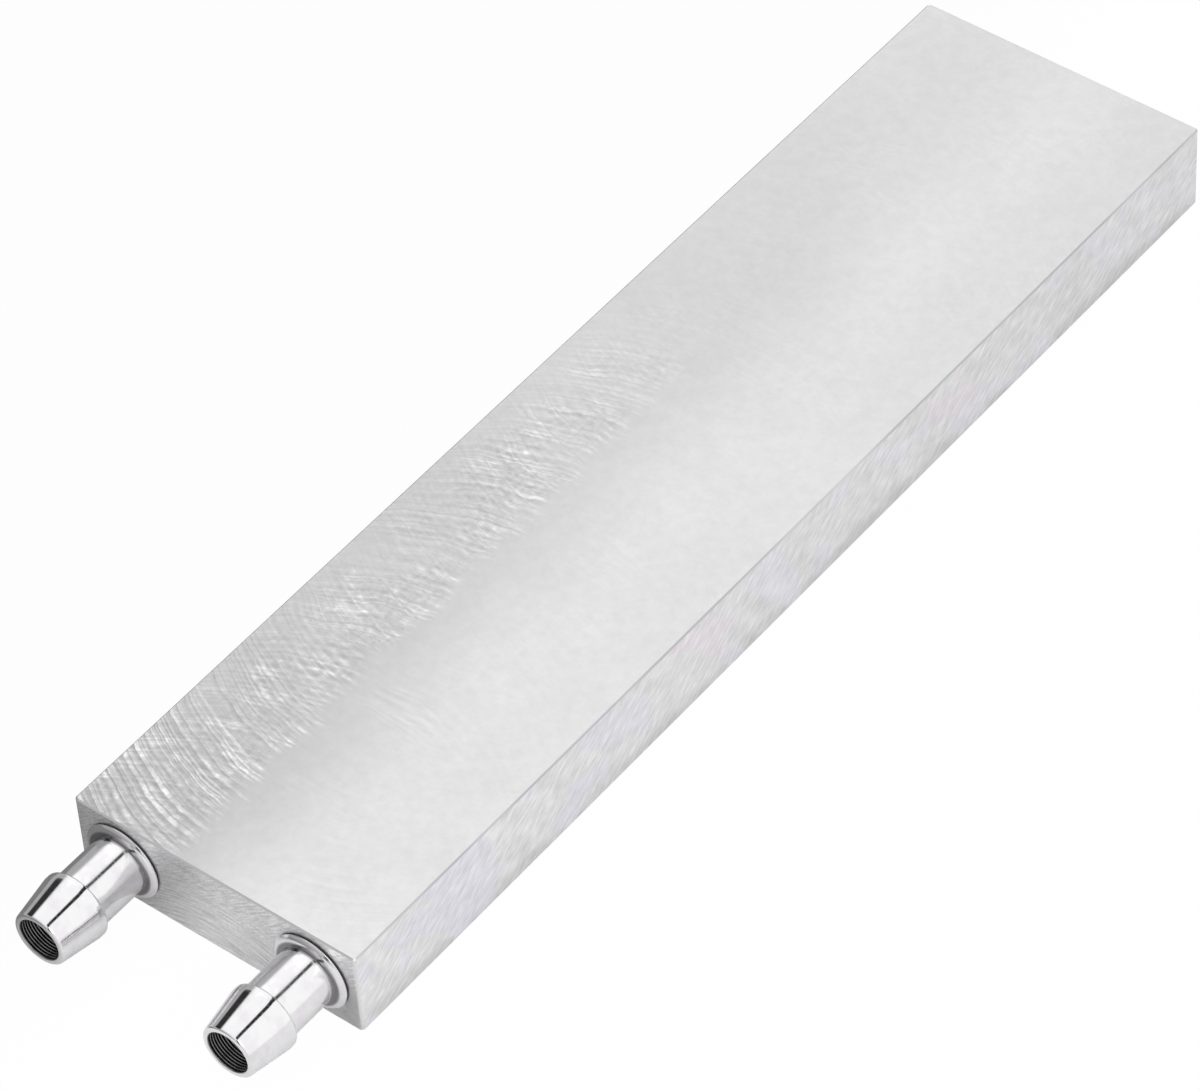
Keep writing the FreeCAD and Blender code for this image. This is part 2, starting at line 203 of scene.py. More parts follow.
class Graph:
    """Adds nodes to one node tree, from left to right."""

    def __init__(self, tree):
        self.tree = tree
        self.column = 0

    def node(self, kind, **settings):
        made = self.tree.nodes.new(kind)
        made.location = (self.column, 0)
        self.column += COLUMN_WIDTH
        for name, setting in settings.items():
            setattr(made, name, setting)
        return made

    def feed(self, socket, source):
        """Links a socket, or sets it when the source is a plain value."""
        if isinstance(source, bpy.types.NodeSocket):
            self.tree.links.new(source, socket)
        elif source is not None:
            socket.default_value = source

    def math(self, operation, first, second=None, third=None, clamp=False):
        made = self.node("ShaderNodeMath", operation=operation, use_clamp=clamp)
        for socket, source in zip(made.inputs, (first, second, third)):
            self.feed(socket, source)
        return made.outputs[0]

    def plus(self, first, second):
        return self.math("ADD", first, second)

    def minus(self, first, second):
        return self.math("SUBTRACT", first, second)

    def times(self, first, second):
        return self.math("MULTIPLY", first, second)

    def vector(self, operation, first, second=None):
        made = self.node("ShaderNodeVectorMath", operation=operation)
        self.feed(made.inputs[0], first)
        self.feed(made.inputs[1], second)
        return made.outputs["Value" if operation in ("LENGTH", "DOT_PRODUCT") else "Vector"]

    def split(self, source):
        made = self.node("ShaderNodeSeparateXYZ")
        self.feed(made.inputs[0], source)
        return made.outputs

    def join(self, x, y, z):
        made = self.node("ShaderNodeCombineXYZ")
        for socket, source in zip(made.inputs, (x, y, z)):
            self.feed(socket, source)
        return made.outputs[0]

    def remap(self, source, low, high, to_low=0.0, to_high=1.0, smooth=True):
        """Maps low..high of the source to to_low..to_high, with soft ends unless told otherwise."""
        made = self.node("ShaderNodeMapRange")
        made.interpolation_type = "SMOOTHSTEP" if smooth else "LINEAR"
        self.feed(made.inputs["Value"], source)
        self.feed(made.inputs["From Min"], low)
        self.feed(made.inputs["From Max"], high)
        self.feed(made.inputs["To Min"], to_low)
        self.feed(made.inputs["To Max"], to_high)
        return made.outputs["Result"]

    def mixed(self, kind, factor, first, second):
        made = self.node("ShaderNodeMix", data_type=kind)
        at_first, at_second, at_result = MIX_SOCKETS[kind]
        self.feed(made.inputs["Factor"], factor)
        self.feed(made.inputs[at_first], first)
        self.feed(made.inputs[at_second], second)
        return made.outputs[at_result]

    def mix(self, factor, first, second):
        """Mixes two colours, which may be sockets or plain values."""
        return self.mixed("RGBA", factor, rgba(first), rgba(second))

    def mix_vectors(self, factor, first, second):
        return self.mixed("VECTOR", factor, first, second)

    def blend(self, factor, first, second):
        """Mixes two numbers."""
        return self.mixed("FLOAT", factor, first, second)

    def mix_shaders(self, factor, first, second):
        made = self.node("ShaderNodeMixShader")
        for socket, source in zip(made.inputs, (factor, first, second)):
            self.feed(socket, source)
        return made.outputs[0]

    def vary(self, colour, signal, amount):
        """Lightens and darkens a colour by a signal that runs from 0 to 1 about a half."""
        balance = 0.5
        swing = self.times(self.minus(signal, balance), amount)
        made = self.node("ShaderNodeVectorMath", operation="SCALE")
        plain = not isinstance(colour, bpy.types.NodeSocket)
        self.feed(made.inputs[0], tuple(colour) if plain else colour)
        self.feed(made.inputs["Scale"], self.plus(swing, 1.0))
        return made.outputs[0]

    def noise(self, source, scale, detail, roughness=0.5, dimensions="3D"):
        made = self.node("ShaderNodeTexNoise", noise_dimensions=dimensions)
        self.feed(made.inputs["W" if dimensions == "1D" else "Vector"], source)
        self.feed(made.inputs["Scale"], scale)
        self.feed(made.inputs["Detail"], detail)
        self.feed(made.inputs["Roughness"], roughness)
        return made.outputs["Fac"]

    def line_noise(self, source, scale, detail, roughness=0.5):
        """Noise along one number."""
        return self.noise(source, scale, detail, roughness, dimensions="1D")

    def group(self, tree, **sources):
        """Places a node group. Sources are named as its inputs, with _ for a space."""
        made = self.node("ShaderNodeGroup")
        made.node_tree = tree
        for name, source in sources.items():
            self.feed(made.inputs[name.replace("_", " ")], source)
        return made.outputs

    def position(self):
        return self.node("ShaderNodeTexCoord").outputs["Object"]

    def bump(self, height, distance, strength=1.0, normal=None):
        made = self.node("ShaderNodeBump")
        self.feed(made.inputs["Height"], height)
        made.inputs["Distance"].default_value = distance
        made.inputs["Strength"].default_value = strength
        self.feed(made.inputs["Normal"], normal)
        return made.outputs["Normal"]


def rgba(colour):
    """A plain colour with its alpha, or a socket as it is."""
    if isinstance(colour, bpy.types.NodeSocket):
        return colour
    return (*tuple(colour)[:3], 1.0)


def shaded(colour, share):
    """A plain colour, darkened to a share of itself."""
    return [channel * share for channel in colour]


def new_group(name, inputs, outputs):
    """An empty shader group. Inputs are (name, kind, default) and outputs are (name, kind)."""
    tree = bpy.data.node_groups.new(name, "ShaderNodeTree")
    for title, kind, default in inputs:
        socket = tree.interface.new_socket(
            name=title, in_out="INPUT", socket_type=f"NodeSocket{kind}"
        )
        socket.default_value = default
    for title, kind in outputs:
        tree.interface.new_socket(name=title, in_out="OUTPUT", socket_type=f"NodeSocket{kind}")
    graph = Graph(tree)
    return graph, graph.node("NodeGroupInput").outputs


def close_group(graph, **sources):
    """Feeds the group's outputs and hands the finished tree back."""
    out = graph.node("NodeGroupOutput")
    for name, source in sources.items():
        graph.feed(out.inputs[name.replace("_", " ")], source)
    return graph.tree


def new_material(name, viewport_colour):
    """A material with one Principled BSDF. Returns the material, its graph and its shader."""
    material = bpy.data.materials.new(name)
    material.use_nodes = True
    material.diffuse_color = rgba(viewport_colour)
    tree = material.node_tree
    tree.nodes.clear()
    graph = Graph(tree)
    shader = graph.node("ShaderNodeBsdfPrincipled")
    out = graph.node("ShaderNodeOutputMaterial")
    tree.links.new(shader.outputs[0], out.inputs["Surface"])
    return material, graph, shader


# ---------------------------------------------------------------------------------------------
# Shared effects
# ---------------------------------------------------------------------------------------------


def once(name, build):
    """The named group, built the first time it is asked for."""
    return bpy.data.node_groups.get(name) or build(name)


def build_cutter_arcs(name):
    """Curved marks that a fly cutter leaves as it is fed along Y, uneven in depth and spacing."""
    graph, given = new_group(
        name,
        [
            ("Position", "Vector", (0, 0, 0)),
            ("Sweep Radius", "Float", 0.034),
            ("Offset", "Float", 0.0),
            ("Feed", "Float", 0.001),
            ("Way", "Float", 1.0),
            ("Wander", "Float", 0.0),
        ],
        [("Height", "Float"), ("Bright Lines", "Float")],
    )
    place = graph.split(given["Position"])
    across = graph.minus(place["X"], given["Offset"])
    chord = graph.minus(
        graph.times(given["Sweep Radius"], given["Sweep Radius"]), graph.times(across, across)
    )
    reach = graph.math("SQRT", graph.math("MAXIMUM", chord, 0.0))
    reach = graph.times(reach, given["Way"])
    turns = graph.math("DIVIDE", graph.plus(place["Y"], reach), given["Feed"])
    turns = graph.plus(turns, given["Wander"])
    fine = graph.line_noise(turns, scale=1.55, detail=1.5, roughness=0.55)
    clusters = graph.line_noise(turns, scale=0.55, detail=1.0)
    clusters = graph.remap(clusters, 0.32, 0.66, 0.35, 1.0)
    height = graph.remap(fine, 0.3, 0.7)
    # each mark comes and goes along its length
    patches = graph.noise(given["Position"], scale=300.0, detail=2.0, roughness=0.65)
    patches = graph.remap(patches, 0.40, 0.62, 0.1, 1.0)
    grit = graph.noise(given["Position"], scale=1900.0, detail=1.0, roughness=0.6)
    grit = graph.remap(grit, 0.3, 0.7, 0.45, 1.0)
    bright = graph.times(graph.remap(fine, 0.40, 0.64), clusters)
    bright = graph.times(bright, graph.times(patches, grit))
    return close_group(graph, Height=height, Bright_Lines=bright)


def build_face_streaks(name):
    """Fine streaks from one noise: lengthwise on broad faces, across on ends, slanting on sides."""
    graph, given = new_group(
        name,
        [
            ("Position", "Vector", (0, 0, 0)),
            ("Side", "Float", 0.0),
            ("End", "Float", 0.0),
            ("Side Angle", "Float", 0.87),
            ("End Bow", "Float", 25.0),
        ],
        [("Height", "Float")],
    )
    turned = graph.node("ShaderNodeVectorRotate", rotation_type="X_AXIS")
    graph.feed(turned.inputs["Vector"], given["Position"])
    graph.feed(turned.inputs["Angle"], given["Side Angle"])
    place = graph.split(given["Position"])
    bow = graph.times(graph.times(place["X"], place["X"]), given["End Bow"])
    bowed = graph.join(place["X"], place["Y"], graph.plus(place["Z"], bow))
    broad_stretch, side_stretch = (2400.0, 700.0, 2400.0), (200.0, 420.0, 2200.0)
    end_stretch = (260.0, 200.0, 4200.0)
    broad_space = graph.vector("MULTIPLY", given["Position"], broad_stretch)
    side_space = graph.vector("MULTIPLY", turned.outputs[0], side_stretch)
    end_space = graph.vector("MULTIPLY", bowed, end_stretch)
    space = graph.mix_vectors(given["Side"], broad_space, side_space)
    space = graph.mix_vectors(given["End"], space, end_space)
    streaks = graph.noise(space, scale=1.0, detail=2.0, roughness=0.6)
    return close_group(graph, Height=graph.remap(streaks, 0.25, 0.75, smooth=False))


def drawn_out(graph, given):
    """The position, turned about a face's normal and stretched."""
    turned = graph.node("ShaderNodeVectorRotate", rotation_type="AXIS_ANGLE")
    graph.feed(turned.inputs["Vector"], given["Position"])
    graph.feed(turned.inputs["Axis"], given["Face Normal"])
    graph.feed(turned.inputs["Angle"], given["Angle"])
    return graph.vector("MULTIPLY", turned.outputs[0], given["Stretch"])


def build_grain(name):
    """Fine streaks: noise drawn out along one direction of a face, turned about its normal."""
    graph, given = new_group(
        name,
        [
            ("Position", "Vector", (0, 0, 0)),
            ("Face Normal", "Vector", (0, 0, 1)),
            ("Angle", "Float", 0.0),
            ("Stretch", "Vector", (1000.0, 100.0, 100.0)),
            ("Detail", "Float", 3.0),
        ],
        [("Height", "Float")],
    )
    streaks = graph.noise(
        drawn_out(graph, given), scale=1.0, detail=given["Detail"], roughness=0.6
    )
    return close_group(graph, Height=graph.remap(streaks, 0.25, 0.75))


def build_scratches(name):
    """Sparse hairline scratches, as thin lines where stretched noise crosses its middle."""
    graph, given = new_group(
        name,
        [
            ("Position", "Vector", (0, 0, 0)),
            ("Face Normal", "Vector", (0, 0, 1)),
            ("Angle", "Float", 0.0),
            ("Stretch", "Vector", (400.0, 40.0, 40.0)),
            ("Width", "Float", 0.02),
            ("Amount", "Float", 0.5),
        ],
        [("Mask", "Float")],
    )
    middle = 0.5
    field = graph.noise(drawn_out(graph, given), scale=1.0, detail=1.0)
    off_middle = graph.math("ABSOLUTE", graph.minus(field, middle))
    line = graph.remap(off_middle, 0.0, given["Width"], 1.0, 0.0)
    # they come in patches, more of them with a greater amount
    patches = graph.noise(given["Position"], scale=210.0, detail=1.0, roughness=0.6)
    held = graph.remap(
        patches, graph.minus(1.0, given["Amount"]), graph.minus(1.15, given["Amount"])
    )
    return close_group(graph, Mask=graph.times(line, held))


def build_edge_wear(name):
    """Where a block's edges are rubbed, and where the plate paints a highlight on its rims: 1 on an
    edge, fading with distance, broken up by noise.
    """
    graph, given = new_group(
        name,
        [
            ("Position", "Vector", (0, 0, 0)),
            ("Middle", "Vector", (0, 0, 0)),
            ("Half Size", "Vector", (1, 1, 1)),
            ("Width", "Float", 0.0006),
        ],
        [("Wear", "Float")],
    )
    from_middle = graph.vector("SUBTRACT", given["Position"], given["Middle"])
    from_middle = graph.vector("ABSOLUTE", from_middle)
    depth = graph.split(graph.vector("SUBTRACT", given["Half Size"], from_middle))
    # the second smallest of the three depths is the distance to the nearest edge
    low = graph.math("MINIMUM", depth["X"], depth["Y"])
    high = graph.math("MAXIMUM", depth["X"], depth["Y"])
    to_edge = graph.math("MAXIMUM", low, graph.math("MINIMUM", high, depth["Z"]))
    ragged = graph.noise(given["Position"], scale=900.0, detail=2.0, roughness=0.6)
    share_ragged = 0.9
    ragged = graph.times(graph.times(ragged, given["Width"]), share_ragged)
    to_edge = graph.plus(to_edge, ragged)
    return close_group(graph, Wear=graph.remap(to_edge, given["Width"], 0.0, 0.0, 1.0))


def build_face_masks(name):
    """Which way a block's face looks: broad faces, long sides, ends and the long edges."""
    graph, _ = new_group(
        name,
        [],
        [("Broad", "Float"), ("Side", "Float"), ("End", "Float"), ("Long Edge", "Float")],
    )
    normal = graph.node("ShaderNodeNewGeometry").outputs["True Normal"]
    facing = graph.split(graph.vector("ABSOLUTE", normal))
    broad, side, end = (graph.remap(facing[axis], 0.8, 0.95) for axis in "ZXY")
    # a long edge's rounding faces outwards and up or down at once
    edge = graph.remap(graph.times(facing["X"], facing["Z"]), 0.3, 0.45)
    return close_group(graph, Broad=broad, Side=side, End=end, Long_Edge=edge)


# ---------------------------------------------------------------------------------------------
# Materials
# ---------------------------------------------------------------------------------------------


class PlateSurface:
    """Where a point of the plate lies, which way it faces, and what all of its faces share."""

    def __init__(self, graph):
        self.position = graph.position()
        self.place = graph.split(self.position)
        self.from_side = graph.minus(self.place["X"], PLATE_LOW.x)
        self.from_port = graph.minus(self.place["Y"], PLATE_LOW.y)
        # 0 at the port end and 1 at the far end
        self.distance = graph.remap(self.from_port, 0.0, PLATE_LENGTH, smooth=False)
        self.faces = graph.group(once("Face Masks", build_face_masks))
        self.cloud = graph.noise(self.position, scale=55.0, detail=2.0, roughness=0.55)
        self.streaks = graph.group(
            once("Face Streaks", build_face_streaks),
            Position=self.position, Side=self.faces["Side"], End=self.faces["End"],
            Side_Angle=math.radians(-36), End_Bow=25.0,
        )["Height"]
        self.wear = graph.group(
            once("Edge Wear", build_edge_wear),
            Position=self.position, Middle=tuple(PLATE_MIDDLE), Half_Size=tuple(PLATE_HALF),
            Width=0.7 * MM,
        )["Wear"]


def cut_arcs(graph, finish, plate):
    """Two families of arcs that cross: the way out of the cutter and its way back. Returns both
    groups' outputs, the bright lines of both and their height."""
    drift, shake = 1.9, 0.35
    wander = graph.plus(
        graph.times(graph.noise(plate.position, scale=150.0, detail=1.0), drift),
        graph.times(graph.noise(plate.position, scale=900.0, detail=0.0), shake),
    )
    wander = graph.times(wander, graph.remap(plate.from_port, 4 * MM, 40 * MM, 0.55, 1.0))
    arcs = once("Cutter Arcs", build_cutter_arcs)
    forward = graph.group(
        arcs, Position=plate.position, Sweep_Radius=finish.sweep_radius,
        Offset=-finish.sweep_offset, Feed=finish.feed, Way=1.0, Wander=wander,
    )
    tighter, quicker = 0.96, 1.12
    backward = graph.group(
        arcs, Position=plate.position, Sweep_Radius=finish.sweep_radius * tighter,
        Offset=-finish.sweep_offset, Feed=finish.feed * quicker, Way=-1.0, Wander=wander,
    )
    # the way out leads at the port end, and the way back takes over further along
    lead = graph.remap(plate.from_port, 8 * MM, 50 * MM, 0.95, 0.32)
    follow = graph.remap(plate.from_port, 8 * MM, 45 * MM, 0.38, 0.75)
    bright = graph.math(
        "ADD",
        graph.times(forward["Bright Lines"], lead),
        graph.times(backward["Bright Lines"], follow),
        clamp=True,
    )
    height = graph.plus(
        graph.times(forward["Height"], lead), graph.times(backward["Height"], follow)
    )
    return forward, backward, bright, height


def cut_strip(graph, finish, plate, arc_height):
    """The coarsely cut strip: along one side of both broad faces, from the port end, where the
    marks run out one by one. Returns the strip's mask, the mask of all arcs, which adds a few
    stray ones on the smooth side, and the arcs' height within the strip's plain outline."""
    width, length = finish.coarse_width, finish.coarse_length
    broad = plate.faces["Broad"]
    tuft_stretch, arc_bite, level = (30.0, 330.0, 1.0), 0.22, 0.65
    tufts = graph.noise(graph.vector("MULTIPLY", plate.position, tuft_stretch), 1.0, 1.0)
    run_out = graph.minus(graph.plus(tufts, graph.times(arc_height, arc_bite)), level)
    edge = graph.plus(plate.from_side, graph.times(run_out, -6.0 * MM))
    strip = graph.remap(edge, width - 1.5 * MM, width + 1.2 * MM, 1.0, 0.0)
    near_port = graph.remap(plate.from_port, length - 18 * MM, length + 28 * MM, 1.0, 0.0)
    # the marks fade towards the long edge, but not at the port end
    rim_fade = graph.remap(plate.from_side, 0.0, 7 * MM, 0.25, 1.0)
    rim_fade = graph.blend(graph.remap(plate.from_port, 10 * MM, 25 * MM), 1.0, rim_fade)
    coarse = graph.times(graph.times(graph.times(strip, near_port), rim_fade), broad)
    # further along they come in tufts, with calmer metal between
    calm = graph.noise(plate.position, scale=125.0, detail=0.0)
    calm = graph.remap(calm, 0.36, 0.56, 0.42, 1.0)
    calm = graph.blend(graph.remap(plate.from_port, 12 * MM, 35 * MM), 1.0, calm)
    coarse = graph.times(coarse, calm)

    # stray marks: faint traces here and there, and a few arcs on the smooth side
    traces = graph.noise(plate.position, scale=75.0, detail=1.0)
    traces = graph.remap(traces, 0.5, 0.68, 0.0, 0.12)
    stray_at = (PLATE_MIDDLE.x + 1.5 * MM, PLATE_LOW.y + 31 * MM, 0.0)
    stray_squash = (1.0, 1.9, 0.0)
    stray = graph.vector("SUBTRACT", plate.position, stray_at)
    stray = graph.vector("LENGTH", graph.vector("MULTIPLY", stray, stray_squash))
    traces = graph.math("MAXIMUM", traces, graph.remap(stray, 3 * MM, 7 * MM, 0.42, 0.0))
    arc_share = graph.math("MAXIMUM", coarse, graph.times(traces, broad))

    outline = graph.remap(plate.from_side, width - 2 * MM, width + 1 * MM, 1.0, 0.0)
    outline = graph.times(outline, near_port)
    return coarse, arc_share, graph.times(arc_height, graph.times(outline, broad))


def broad_colour(graph, finish, plate, arcs, coarse, arc_share):
    """Broad faces: dull beside the coarse strip, partly the cut's own tone and partly painted
    shade, clearer across the middle, evening out with distance under painted shade that deepens
    towards the far end, with the arcs over that, their glints and light and shade painted."""
    forward, backward, bright, _ = arcs
    broad = plate.faces["Broad"]
    clean = finish.colour
    metal = graph.mix(graph.remap(plate.cloud, 0.3, 0.7), clean, shaded(clean, 0.97))
    # painted shade: darker towards the far end, and darker still at the far corner
    metal = graph.mix(graph.times(plate.distance, broad), metal, shaded(clean, 0.92))
    far_side = graph.remap(plate.from_side, 22 * MM, 38 * MM)
    painted_far_shade = graph.times(graph.times(plate.distance, plate.distance), far_side)
    metal = graph.mix(painted_far_shade, metal, shaded(clean, 0.86))
    # the dull part, partly the coarse cut's own tone and partly painted shade, ends softly, apart
    # from a soft darker step further along
    across = graph.remap(plate.from_side, 11 * MM, 29 * MM, 1.0, 0.0)
    uneven = graph.times(graph.minus(plate.cloud, 0.5), 3 * MM)
    darker_step = graph.remap(graph.plus(plate.from_side, uneven), 22.2 * MM, 23.0 * MM, 0.2, 0.0)
    darker_step = graph.times(darker_step, graph.remap(plate.from_port, 30 * MM, 45 * MM))
    across = graph.math("MAXIMUM", across, darker_step)
    fade = graph.remap(plate.from_port, 0.0, PLATE_LENGTH, 1.0, 0.22, smooth=False)
    metal = graph.mix(graph.times(graph.times(across, fade), broad), metal, finish.dull_and_shade_colour)
    # the arcs: painted glints as bright lines, then painted light and shade of both families,
    # crumbs and mottling
    metal = graph.mix(graph.times(bright, arc_share), metal, finish.bright_colour)
    turned_over = graph.remap(plate.from_port, 8 * MM, 50 * MM, 0.3, 0.66)
    weave = graph.blend(turned_over, forward["Height"], backward["Height"])
    weave = graph.blend(arc_share, 0.5, weave)
    metal = graph.vary(metal, weave, graph.remap(plate.from_port, 14 * MM, 45 * MM, 0.31, 0.25))
    crumbs = graph.noise(plate.position, scale=1250.0, detail=1.0, roughness=0.6)
    crumbs = graph.remap(crumbs, 0.25, 0.75)
    metal = graph.vary(metal, crumbs, amount=graph.times(coarse, 0.17))
    mottle = graph.noise(plate.position, scale=700.0, detail=2.0, roughness=0.7)
    return graph.vary(metal, mottle, amount=graph.times(broad, 0.16))


def along_side(graph, kind, build, plate, degrees, **settings):
    """A shared effect laid along the long sides at an angle."""
    return graph.group(
        once(kind, build), Position=plate.position, Face_Normal=(1, 0, 0),
        Angle=math.radians(degrees), **settings,
    )[0]


def side_colour(graph, finish, plate, leaning):
    """Long sides: clear, with painted shade deepening with distance and along the lower edge,
    smeared and scratched at a slant.
    """
    smears = along_side(
        graph, "Grain", build_grain, plate, 42, Stretch=(60.0, 130.0, 420.0), Detail=1.0
    )
    hairs = along_side(
        graph, "Scratches", build_scratches, plate, -38,
        Stretch=(60.0, 70.0, 900.0), Width=0.025, Amount=0.52,
    )
    long_hairs = along_side(
        graph, "Scratches", build_scratches, plate, 3,
        Stretch=(60.0, 30.0, 900.0), Width=0.018, Amount=0.45,
    )
    # painted shade, deeper with distance along the side
    metal = graph.mix(plate.distance, finish.side_colour, shaded(finish.side_colour, 0.915))
    metal = graph.vary(metal, plate.streaks, amount=STREAK_CONTRAST)
    metal = graph.vary(metal, smears, amount=0.08)
    # short hairs are light and long ones dark
    metal = graph.vary(metal, graph.plus(graph.times(hairs, 0.5), 0.5), amount=0.14)
    metal = graph.vary(metal, graph.minus(0.5, graph.times(long_hairs, 0.5)), amount=0.12)
    # painted shade, deeper towards the lower edge
    uneven = graph.times(graph.minus(leaning, 0.5), 1.5 * MM)
    low = graph.plus(plate.place["Z"], uneven)
    low = graph.remap(low, PLATE_LOW.z + 0.6 * MM, PLATE_LOW.z + 2.4 * MM, 0.1, 0.5)
    return graph.vary(metal, low, amount=0.3)


def side_bloom(graph, plate, leaning, metal):
    """A faint lavender bloom on the long sides in slanting patches, here and there pink."""
    tint = graph.times(graph.remap(leaning, 0.52, 0.62), plate.faces["Side"])
    tint = graph.times(tint, graph.remap(plate.distance, 0.0, 1.0, 0.7, 0.35))
    pink = graph.remap(graph.noise(plate.position, scale=31.0, detail=1.0), 0.6, 0.66)
    bloom = graph.mix(pink, (0.82, 0.815, 0.885), (0.87, 0.80, 0.855))
    return graph.mix(tint, metal, graph.vary(bloom, plate.streaks, amount=STREAK_CONTRAST))


def end_colour(graph, finish, plate):
    """Ends: slightly bowed streaks across the width with slanting ones over the upper part, painted
    shade over the left half, painted light at the left end and painted shade low down at the right
    end."""
    place = plate.place
    raked = graph.group(
        once("Grain", build_grain), Position=plate.position, Face_Normal=(0, 1, 0),
        Angle=math.radians(38), Stretch=(420.0, 200.0, 4200.0), Detail=2.0,
    )["Height"]
    ragged = graph.times(graph.noise(plate.position, scale=160.0, detail=0.0), 5 * MM)
    upper = graph.plus(place["Z"], ragged)
    upper = graph.remap(upper, PLATE_MIDDLE.z + 1 * MM, PLATE_MIDDLE.z + 5 * MM)
    raked_share = 0.6
    cross = graph.blend(raked_share, plate.streaks, raked)
    cross = graph.blend(upper, plate.streaks, cross)

    # painted shade over the left half, painted light at the left end and painted shade low down at
    # the right end
    tone = graph.remap(place["X"], -9 * MM, 2 * MM)
    metal = graph.mix(tone, shaded(finish.end_colour, 0.9), finish.end_colour)
    painted_light_left_end = graph.remap(place["X"], -18 * MM, -13 * MM, 1.0, 0.0)
    metal = graph.mix(painted_light_left_end, metal, (0.95, 0.95, 0.955))
    painted_shade_right_end = graph.remap(place["X"], 13 * MM, 18 * MM)
    painted_shade_right_end = graph.times(painted_shade_right_end, graph.remap(place["Z"], 10 * MM, 4 * MM))
    metal = graph.mix(painted_shade_right_end, metal, (0.55, 0.55, 0.555))
    metal = graph.vary(metal, cross, amount=0.62)
    specks = graph.noise(plate.position, scale=2600.0, detail=1.0, roughness=0.6)
    return graph.vary(metal, graph.remap(specks, 0.25, 0.75), amount=0.16)


def make_milled_aluminium(finish):
    """Aluminium: fly cut on its broad faces, rubbed on its sides, sawn and milled on its ends."""
    material, graph, shader = new_material("Milled Aluminium", finish.colour)
    plate = PlateSurface(graph)
    faces = plate.faces
    arcs = cut_arcs(graph, finish, plate)
    coarse, arc_share, arc_height = cut_strip(graph, finish, plate, arcs[-1])
    leaning = along_side(
        graph, "Grain", build_grain, plate, 45, Stretch=(10.0, 75.0, 190.0), Detail=1.0
    )

    metal = broad_colour(graph, finish, plate, arcs, coarse, arc_share)
    metal = graph.mix(faces["Side"], metal, side_colour(graph, finish, plate, leaning))
    metal = side_bloom(graph, plate, leaning, metal)
    metal = graph.mix(faces["End"], metal, end_colour(graph, finish, plate))
    # the long edges get a painted dark line with gaps, standing for shade and a dark reflection,
    # and the other rims are rubbed bright, partly wear and partly a painted highlight
    broken = graph.times(faces["Long Edge"], graph.remap(plate.cloud, 0.35, 0.6, 0.35, 0.7))
    metal = graph.mix(broken, metal, (0.42, 0.415, 0.44))
    rim_wear_and_sheen = graph.times(plate.wear, graph.minus(1.0, faces["Long Edge"]))
    rim_sheen_share = 0.45
    metal = graph.mix(graph.times(rim_wear_and_sheen, rim_sheen_share), metal, (0.9, 0.9, 0.9))
    graph.feed(shader.inputs["Base Color"], metal)

    end_roughness, coarse_adds, wear_takes = 0.46, 0.05, 0.08
    rough = graph.blend(faces["Side"], finish.roughness, finish.side_roughness)
    rough = graph.blend(faces["End"], rough, end_roughness)
    rough = graph.plus(rough, graph.times(coarse, coarse_adds))
    rough = graph.minus(rough, graph.times(rim_wear_and_sheen, wear_takes))
    rough = graph.plus(rough, graph.remap(plate.cloud, 0.3, 0.7, -0.02, 0.03))
    graph.feed(shader.inputs["Roughness"], rough)
    shader.inputs["Metallic"].default_value = 1.0

    # one bump holds the arcs and the streaks; streaks are deeper on the sides and ends
    depth = graph.math("MAXIMUM", faces["Side"], faces["End"])
    depth = graph.remap(depth, 0.0, 1.0, 0.02, 0.14, smooth=False)
    relief = graph.plus(graph.times(plate.streaks, depth), arc_height)
    graph.feed(shader.inputs["Normal"], graph.bump(relief, distance=0.045 * MM, strength=0.8))
    return material


